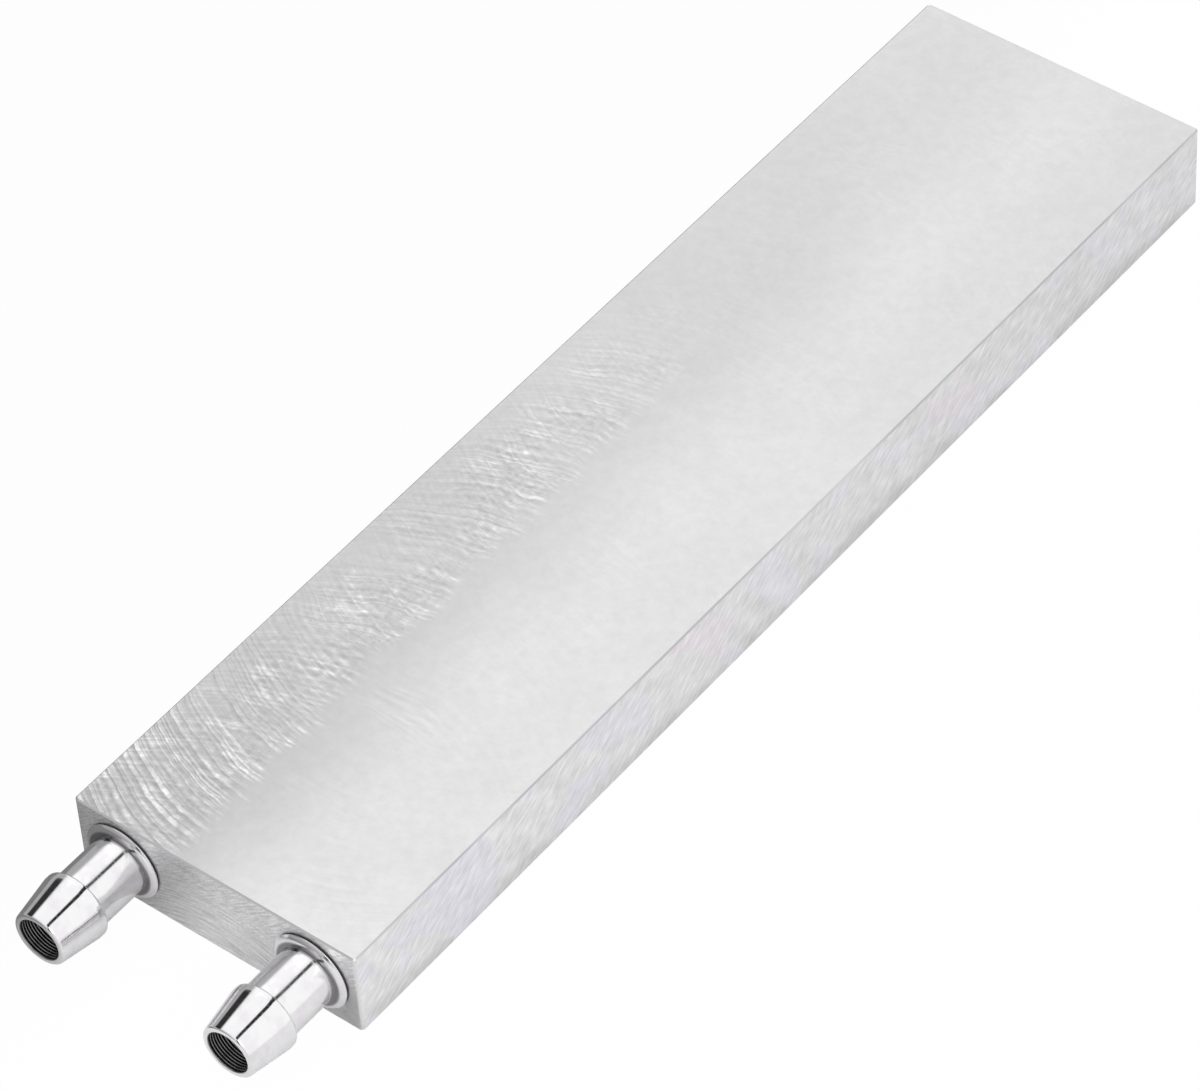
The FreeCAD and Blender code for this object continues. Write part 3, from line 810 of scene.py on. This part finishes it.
def make_turned_metal(barbs):
    """Bright turned metal, with fine rings round the axis, a dull bore darkened partly by its own
    oxide and partly with painted shade, and a painted dark line of shade where the collar meets the
    neck.
    """
    material, graph, shader = new_material("Turned Metal", barbs.colour)
    position = graph.position()
    place = graph.split(position)
    # stations run towards -Y from the collar's back face
    station = graph.times(place["Y"], -1.0)
    radius = graph.plus(graph.times(place["X"], place["X"]), graph.times(place["Z"], place["Z"]))
    radius = graph.math("SQRT", radius)
    bore_wall = barbs.bore_radius
    bore = graph.remap(radius, bore_wall + 0.02 * MM, bore_wall + 0.16 * MM, 1.0, 0.0)
    # tool marks: rings of uneven depth, told apart by the distance along the axis
    lean = 0.35
    along = graph.plus(place["Y"], graph.times(radius, lean))
    rings = graph.line_noise(along, scale=16000.0, detail=3.0, roughness=0.65)
    broad_rings = graph.line_noise(along, scale=2600.0, detail=2.0, roughness=0.6)
    smudge = graph.noise(position, scale=420.0, detail=3.0, roughness=0.6)

    metal = graph.mix(graph.remap(smudge, 0.38, 0.66), barbs.colour, (0.84, 0.815, 0.85))
    # the bore is darkened partly as its own oxide and partly as painted shade
    metal = graph.mix(bore, metal, (0.22, 0.22, 0.225))
    # a painted dark line of shade in the corner between collar and neck
    corner_at = barbs.collar_rim + barbs.collar_bevel
    corner = graph.math("ABSOLUTE", graph.minus(station, corner_at + 0.05 * MM))
    corner = graph.remap(corner, 0.06 * MM, 0.15 * MM, 0.8, 0.0)
    outside = graph.remap(radius, bore_wall, barbs.neck_radius - 0.1 * MM)
    metal = graph.mix(graph.times(corner, outside), metal, (0.10, 0.095, 0.10))
    graph.feed(shader.inputs["Base Color"], metal)

    # the neck is a little rougher than the rest, and the bore rougher still
    neck_adds, bore_roughness = 0.055, 0.30
    shoulder_at = corner_at + barbs.neck_length
    neck = graph.remap(station, shoulder_at - 0.3 * MM, shoulder_at, 1.0, 0.0)
    rough = graph.blend(neck, barbs.roughness, barbs.roughness + neck_adds)
    rough = graph.plus(rough, graph.remap(smudge, 0.4, 0.8, 0.0, 0.07))
    rough = graph.plus(rough, graph.remap(broad_rings, 0.45, 0.7, 0.0, 0.04))
    rough = graph.blend(bore, rough, bore_roughness)
    graph.feed(shader.inputs["Roughness"], rough)
    shader.inputs["Metallic"].default_value = 1.0

    normal = graph.bump(rings, distance=0.0008 * MM, strength=0.7)
    normal = graph.bump(broad_rings, distance=0.0016 * MM, strength=0.6, normal=normal)
    graph.feed(shader.inputs["Normal"], normal)
    return material


def make_gasket_rubber(gaskets):
    """Matt black rubber with a fine pebble and a little dust."""
    material, graph, shader = new_material("Gasket Rubber", gaskets.colour)
    position = graph.position()
    pebble = graph.noise(position, scale=5200.0, detail=3.0, roughness=0.6)
    dust = graph.noise(position, scale=700.0, detail=3.0, roughness=0.6)
    dust = graph.remap(dust, 0.55, 0.8, 0.0, 0.25)
    rubber = graph.mix(dust, gaskets.colour, (0.12, 0.12, 0.12))
    graph.feed(shader.inputs["Base Color"], rubber)
    smoothest, roughest = gaskets.roughness - 0.07, gaskets.roughness + 0.07
    graph.feed(shader.inputs["Roughness"], graph.remap(pebble, 0.3, 0.7, smoothest, roughest))
    shader.inputs["Specular IOR Level"].default_value = 0.4
    bump = graph.bump(pebble, distance=0.004 * MM, strength=0.5)
    graph.feed(shader.inputs["Normal"], bump)
    return material


# ---------------------------------------------------------------------------------------------
# Shapes
# ---------------------------------------------------------------------------------------------


def arc(middle, radius, start, end, steps):
    """Points on an arc in the (radius, station) plane, angles in degrees."""
    points = []
    for i in range(steps + 1):
        turn = math.radians(start + (end - start) * i / steps)
        points.append((middle[0] + radius * math.cos(turn), middle[1] + radius * math.sin(turn)))
    return points


def straight(start, end, steps):
    """Points from start to end, without the end itself."""
    return [
        (
            start[0] + (end[0] - start[0]) * i / steps,
            start[1] + (end[1] - start[1]) * i / steps,
        )
        for i in range(steps)
    ]


def spigot_outline(barbs, inner_end):
    """The spigot from the bore's inner end to the collar's back face."""
    spigot, chamfer = barbs.spigot_radius, 0.25 * MM
    return [
        (barbs.bore_radius, inner_end),
        (spigot - chamfer, inner_end),
        (spigot, inner_end + chamfer),
        (spigot, 0.0),
    ]


def collar_outline(barbs, collar_top):
    """The collar from its back face: rim, a cone that is turned slightly convex, a flat step and
    the small radius at the neck's root."""
    hair, root = 0.05 * MM, 0.16 * MM
    rim_round = COLLAR_RADIUS - hair
    ledge = barbs.neck_radius + barbs.collar_ledge
    cone_width = COLLAR_RADIUS - ledge
    lean = math.pi / 2 - 2 * math.atan2(barbs.collar_bevel, cone_width)
    bulge = cone_width / math.cos(lean)
    cone_start = math.degrees(lean)
    # the rim's rounding stops just short of the cone, so that no two points meet
    rim_stop = cone_start * 0.9
    return [
        *arc((rim_round, hair), hair, -90, 0, 3),
        *arc((rim_round, barbs.collar_rim - hair * math.tan(lean / 2)), hair, 0, rim_stop, 3),
        *arc((ledge, collar_top - bulge), bulge, cone_start, 90, 8),
        *arc((barbs.neck_radius + root, collar_top + root), root, 270, 180, 6),
    ]


def neck_outline(barbs, start, shoulder, taper):
    """The neck from its root, the rounded shoulder behind the land and the land itself."""
    neck, land = barbs.neck_radius, barbs.land_radius
    inner_round, outer_round = 0.12 * MM, barbs.shoulder_round
    gap, edge_gap = 0.1 * MM, 0.05 * MM
    neck_end, land_start = shoulder - inner_round, shoulder + outer_round
    return [
        *straight((neck, start + gap), (neck, neck_end), 6),
        *arc((neck + inner_round, neck_end), inner_round, 180, 90, 4),
        *arc((land - outer_round, land_start), outer_round, -90, 0, 12),
        *straight((land, land_start + gap), (land, taper - edge_gap), 3),
    ]


def tip_outline(barbs, taper):
    """The taper and the lip, rounded outside and broken at the mouth. Returns the outline and
    the size of the break."""
    land, tip, lip = barbs.land_radius, barbs.tip_radius, barbs.tip_round
    slope = math.atan2(land - tip, TIP_STATION - taper)
    lip_radius = tip - lip / math.cos(slope) + lip * math.tan(slope)
    lip_middle = (lip_radius, TIP_STATION - lip)
    taper_end = (lip_radius + lip * math.cos(slope), lip_middle[1] + lip * math.sin(slope))
    least_break = 0.02 * MM
    mouth = min(barbs.mouth_break, max(least_break, lip_radius - barbs.bore_radius))
    outline = [
        *straight((land, taper), taper_end, 10),
        *arc(lip_middle, lip, math.degrees(slope), 90, 12),
        *arc((barbs.bore_radius + mouth, TIP_STATION - mouth), mouth, 90, 180, 8),
    ]
    return outline, mouth


def bore_outline(barbs, start, inner_end):
    """The bore from the mouth inwards, with shallow tool rings."""
    bore, floor = barbs.bore_radius, barbs.bore_radius + barbs.ring_depth
    pitch = barbs.ring_pitch
    # a ring's four corners, in pitches from the ring's start
    lead_in, down, up, out = 0.35, 0.30, 0.45, 0.62
    points = []
    for i in range(int((start - inner_end) / pitch) - 1):
        top = start - (i + lead_in) * pitch
        points += [
            (bore, top),
            (floor, top - down * pitch),
            (floor, top - up * pitch),
            (bore, top - out * pitch),
        ]
    return points


def barb_profile(barbs, inner_end):
    """The outline of a barb as (radius, station) from the spigot's inner end, out round the lip
    and back through the bore. Stations count outwards from the collar's back face."""
    collar_top = barbs.collar_rim + barbs.collar_bevel
    shoulder = collar_top + barbs.neck_length
    taper = shoulder + barbs.land_length
    collar = collar_outline(barbs, collar_top)
    neck_start = collar[-1][1]
    tip, mouth = tip_outline(barbs, taper)
    return [
        *spigot_outline(barbs, inner_end),
        *collar,
        *neck_outline(barbs, neck_start, shoulder, taper),
        *tip,
        *bore_outline(barbs, TIP_STATION - mouth, inner_end),
    ]


# an edge that turns further than this is shaded sharp
SHARP_ANGLE = math.radians(28)
BARB_SEGMENTS = 144


def turn_on_lathe(name, profile, segments):
    """A closed mesh turned about Y from a closed outline of (radius, station); +station is -Y."""
    mesh = bpy.data.meshes.new(name)
    shape = bmesh.new()
    rings = []
    for radius, station in profile:
        ring = []
        for i in range(segments):
            turn = 2 * math.pi * i / segments
            place = (radius * math.cos(turn), -station, radius * math.sin(turn))
            ring.append(shape.verts.new(place))
        rings.append(ring)
    count = len(rings)
    for k in range(count):
        here, following = rings[k], rings[(k + 1) % count]
        for i in range(segments):
            j = (i + 1) % segments
            shape.faces.new((here[i], here[j], following[j], following[i]))
    bmesh.ops.recalc_face_normals(shape, faces=shape.faces)
    for face in shape.faces:
        face.smooth = True
    for edge in shape.edges:
        edge.smooth = edge.calc_face_angle(0.0) <= SHARP_ANGLE
    shape.to_mesh(mesh)
    shape.free()
    return bpy.data.objects.new(name, mesh)


def give_material(node, material):
    """Puts one material on every slot of a CAD node."""
    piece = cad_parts[node]
    if not piece.material_slots:
        piece.data.materials.append(material)
    for slot in piece.material_slots:
        slot.material = material


# ---------------------------------------------------------------------------------------------
# Operators
# ---------------------------------------------------------------------------------------------


class COLDPLATE_OT_plate(bpy.types.Operator):
    """Give the plate's body and its two end plugs their milled finish"""

    bl_idname = "coldplate.plate"
    bl_label = "Finish Plate"

    def execute(self, context):
        material = make_milled_aluminium(context.scene.cold_plate_finish)
        for node in ("channel_body", "port_end_plug", "return_end_plug"):
            give_material(node, material)
        return {"FINISHED"}


class COLDPLATE_OT_barbs(bpy.types.Operator):
    """Turn the two hose barbs and put them in their ports"""

    bl_idname = "coldplate.barbs"
    bl_label = "Make Barbs"

    def execute(self, context):
        barbs = context.scene.cold_plate_barbs
        material = make_turned_metal(barbs)
        profile = barb_profile(barbs, INNER_STATION)
        for side in ("left", "right"):
            low, high = (Vector(corner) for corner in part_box(f"{side}_barb"))
            piece = turn_on_lathe(f"{side}_turned_barb", profile, BARB_SEGMENTS)
            piece.location = ((low.x + high.x) / 2, COLLAR_BACK_Y, (low.z + high.z) / 2)
            piece.data.materials.append(material)
            context.scene.collection.objects.link(piece)
            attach(piece, "root")
            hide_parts(f"{side}_barb")
        return {"FINISHED"}


class COLDPLATE_OT_gaskets(bpy.types.Operator):
    """Give the gaskets under the collars their rubber"""

    bl_idname = "coldplate.gaskets"
    bl_label = "Finish Gaskets"

    def execute(self, context):
        material = make_gasket_rubber(context.scene.cold_plate_gaskets)
        for side in ("left", "right"):
            give_material(f"{side}_port_gasket", material)
        return {"FINISHED"}


class COLDPLATE_OT_stage(bpy.types.Operator):
    """Lay the floor and set up the light tent, the lamps and the camera"""

    bl_idname = "coldplate.stage"
    bl_label = "Set Up Stage"

    def execute(self, context):
        stage = context.scene.cold_plate_stage
        lay_floor(context, stage)
        pitch_tent(context, stage)
        hang_lamps(context, stage)
        aim_camera(context)
        context.scene.view_settings.view_transform = "Standard"
        return {"FINISHED"}


def lay_floor(context, stage):
    """A pale floor under the object."""
    mesh = bpy.data.meshes.new("floor")
    reach, level = 3.0, -0.05 * MM
    signs = ((-1, -1), (1, -1), (1, 1), (-1, 1))
    mesh.from_pydata([(x * reach, y * reach, level) for x, y in signs], [], [(0, 1, 2, 3)])
    floor = bpy.data.objects.new("floor", mesh)
    context.scene.collection.objects.link(floor)
    mesh.materials.append(make_studio_floor(stage))


def make_studio_floor(stage):
    """Matt and pale, shown mostly as a plain tone that keeps a faint shadow. It falls off to grey
    on the left as a painted shadow, and is clear from below."""
    material = bpy.data.materials.new("Studio Floor")
    material.use_nodes = True
    tree = material.node_tree
    tree.nodes.clear()
    graph = Graph(tree)
    place = graph.split(graph.position())
    # painted shadow: the floor turns grey towards the left
    clear_of_painted_shadow = graph.remap(place["X"], -30 * MM, -2 * MM)
    shade = graph.mix(clear_of_painted_shadow, stage.floor_shade, stage.floor_colour)
    matt = graph.node("ShaderNodeBsdfDiffuse")
    graph.feed(matt.inputs["Color"], shade)
    white = graph.node("ShaderNodeEmission")
    white.inputs["Strength"].default_value = 1.0
    rays = graph.node("ShaderNodeLightPath").outputs
    graph.feed(white.inputs["Color"], graph.mix(rays["Is Camera Ray"], shade, (1.0, 1.0, 1.0)))
    seen = graph.times(rays["Is Camera Ray"], stage.floor_glow)
    mirrored = graph.times(rays["Is Glossy Ray"], stage.mirrored_glow)
    seen = graph.math("MAXIMUM", seen, mirrored)
    glow = graph.mix_shaders(seen, matt.outputs[0], white.outputs[0])
    clear = graph.node("ShaderNodeBsdfTransparent")
    from_below = graph.node("ShaderNodeNewGeometry").outputs["Backfacing"]
    out = graph.node("ShaderNodeOutputMaterial")
    sided = graph.mix_shaders(from_below, glow, clear.outputs[0])
    graph.feed(out.inputs["Surface"], sided)
    return material


def pitch_tent(context, stage):
    """A white tent, brightest above and behind on the right, with one dark seam."""
    world = bpy.data.worlds.new("Light Tent")
    world.use_nodes = True
    context.scene.world = world
    tree = world.node_tree
    tree.nodes.clear()
    graph = Graph(tree)
    direction = graph.node("ShaderNodeTexCoord").outputs["Generated"]
    part = graph.split(direction)
    brightest = tuple(Vector((0.42, 0.5, 0.55)).normalized())
    towards_light = graph.vector("DOT_PRODUCT", direction, brightest)
    wall = graph.remap(towards_light, -0.75, 0.3, 0.35, 1.0)
    # a dark seam runs over the top, from front to back
    seam_normal, seam_light = (-0.937, -0.129, 0.324), 0.02
    across_seam = graph.vector("DOT_PRODUCT", direction, seam_normal)
    seam = graph.remap(graph.math("ABSOLUTE", across_seam), 0.07, 0.10, 1.0, 0.0)
    seam = graph.times(seam, graph.remap(part["Z"], 0.05, 0.2))
    wall = graph.blend(seam, wall, seam_light)
    # the open left side: grey, with a black screen standing in its front part
    open_light, screen_light = 0.42, 0.03
    left = graph.remap(part["X"], -0.64, -0.76)
    wall = graph.blend(left, wall, open_light)
    screen = graph.times(graph.remap(part["X"], -0.70, -0.76), graph.remap(part["Y"], 0.36, 0.30))
    screen = graph.times(screen, graph.remap(part["Z"], 0.24, 0.34))
    wall = graph.blend(screen, wall, screen_light)
    strength = graph.times(wall, stage.tent)
    camera_ray = graph.node("ShaderNodeLightPath").outputs["Is Camera Ray"]
    strength = graph.blend(camera_ray, strength, 1.0)  # plain white behind the object
    tent = graph.node("ShaderNodeBackground")
    graph.feed(tent.inputs["Strength"], strength)
    out = graph.node("ShaderNodeOutputWorld")
    graph.feed(out.inputs["Surface"], tent.outputs[0])


def hang_lamp(context, name, spot, size, power):
    """A square area lamp at a spot, turned to face the origin."""
    data = bpy.data.lights.new(name, "AREA")
    data.shape = "SQUARE"
    data.size = size
    data.energy = power
    lamp = bpy.data.objects.new(name, data)
    lamp.location = spot
    lamp.rotation_euler = (-Vector(spot)).to_track_quat("-Z", "Y").to_euler()
    context.scene.collection.objects.link(lamp)


def hang_lamps(context, stage):
    hang_lamp(context, "key_lamp", (-0.45, 0.75, 1.0), size=1.0, power=stage.key_power)
    hang_lamp(context, "front_lamp", (0.66, -0.54, 0.84), size=0.6, power=stage.front_power)


def aim_camera(context):
    """A long lens from above the port end, on the right, with a slight roll."""
    spot = (0.3205, -0.38327, 0.51748)
    across = Vector((0.78785, 0.61398, -0.04819))
    up = Vector((-0.41792, 0.59045, 0.69044))
    back = across.cross(up).normalized()
    up = back.cross(across).normalized()
    data = bpy.data.cameras.new("camera")
    data.sensor_width = 36.0  # millimetres, like the lens
    data.sensor_fit = "HORIZONTAL"
    data.lens = 185.5
    data.clip_end = 20.0
    camera = bpy.data.objects.new("camera", data)
    turned = Matrix((across.normalized(), up, back)).transposed()
    camera.matrix_world = Matrix.Translation(spot) @ turned.to_4x4()
    context.scene.collection.objects.link(camera)
    context.scene.camera = camera


# ---------------------------------------------------------------------------------------------
# Panel and registration
# ---------------------------------------------------------------------------------------------


class COLDPLATE_PT_panel(bpy.types.Panel):
    """Lists the steps and their settings in the 3D view's sidebar"""

    bl_idname = "COLDPLATE_PT_panel"
    bl_label = "Cold Plate"
    bl_space_type = "VIEW_3D"
    bl_region_type = "UI"
    bl_category = "Cold Plate"

    def draw(self, context):
        for operator, group in STEPS:
            box = self.layout.box()
            box.operator(operator)
            settings = getattr(context.scene, group)
            for name in settings.__annotations__:
                box.prop(settings, name)


STEPS = (
    ("coldplate.plate", "cold_plate_finish"),
    ("coldplate.barbs", "cold_plate_barbs"),
    ("coldplate.gaskets", "cold_plate_gaskets"),
    ("coldplate.stage", "cold_plate_stage"),
)
GROUPS = {
    "cold_plate_finish": ColdPlateFinish,
    "cold_plate_barbs": ColdPlateBarbs,
    "cold_plate_gaskets": ColdPlateGaskets,
    "cold_plate_stage": ColdPlateStage,
}
CLASSES = (
    *GROUPS.values(),
    COLDPLATE_OT_plate,
    COLDPLATE_OT_barbs,
    COLDPLATE_OT_gaskets,
    COLDPLATE_OT_stage,
    COLDPLATE_PT_panel,
)


def register():
    for cls in CLASSES:
        bpy.utils.register_class(cls)
    for name, group in GROUPS.items():
        setattr(bpy.types.Scene, name, bpy.props.PointerProperty(type=group))


def unregister():
    for name in GROUPS:
        delattr(bpy.types.Scene, name)
    for cls in reversed(CLASSES):
        bpy.utils.unregister_class(cls)


def plain(bounds):
    """A box's two corners as plain lists of numbers."""
    return [[float(value) for value in corner] for corner in bounds]


def main():
    """Dresses the plate, the barbs, the gaskets and the stage."""
    register()
    bpy.ops.coldplate.plate()
    bpy.ops.coldplate.barbs()
    bpy.ops.coldplate.gaskets()
    bpy.ops.coldplate.stage()


if __name__ == "__main__":
    main()
